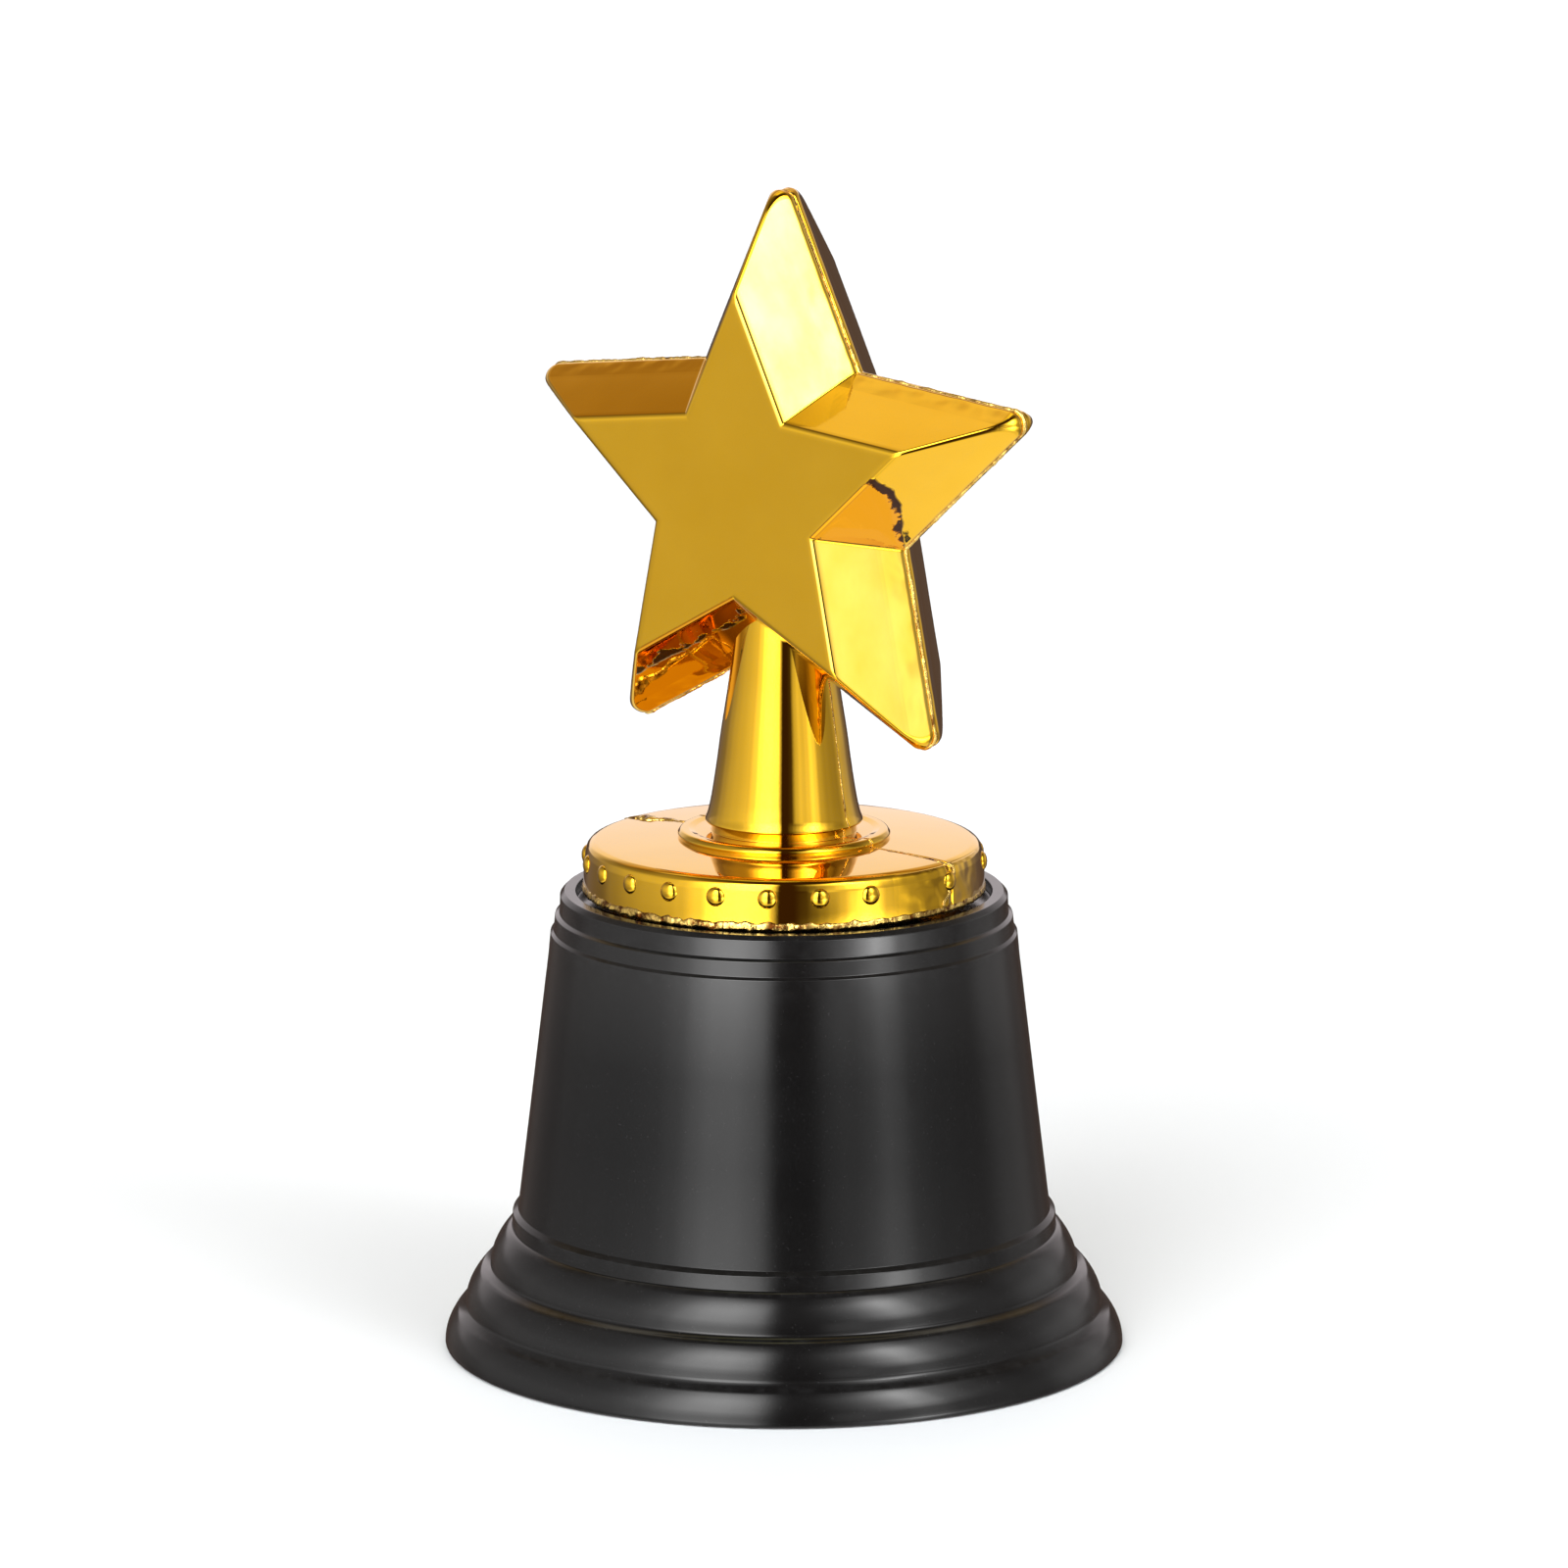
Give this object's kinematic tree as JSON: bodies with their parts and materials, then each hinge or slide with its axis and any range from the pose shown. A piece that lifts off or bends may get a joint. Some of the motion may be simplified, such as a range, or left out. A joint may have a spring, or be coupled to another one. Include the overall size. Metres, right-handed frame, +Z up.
{
  "type": "star trophy",
  "caption": "Small award: a faceted gold-plated star on a tapered stem and studded round foot, screwed to a stepped black pedestal with a hollow underside.",
  "frame": {"origin": "centre of the pedestal's underside, on the surface that the trophy stands on", "axes": "+Z up along the stem's axis; the star's front face looks along -Y; the moulding seam lies in the XZ plane"},
  "size_m": [0.0738, 0.0738, 0.1261],
  "materials": {
    "gold_plating": "vacuum-plated mirror gold on moulded plastic",
    "black_plastic": "moulded black, semi-gloss",
    "screw_steel": "zinc-plated",
    "washer_steel": "zinc-plated, stamped"
  },
  "bodies": {
    "root": {"figure_front_shell": "gold_plating", "figure_rear_shell": "gold_plating", "base_shell": "black_plastic", "mounting_screw": "screw_steel", "flat_washer": "washer_steel"}
  },
  "joints": []
}
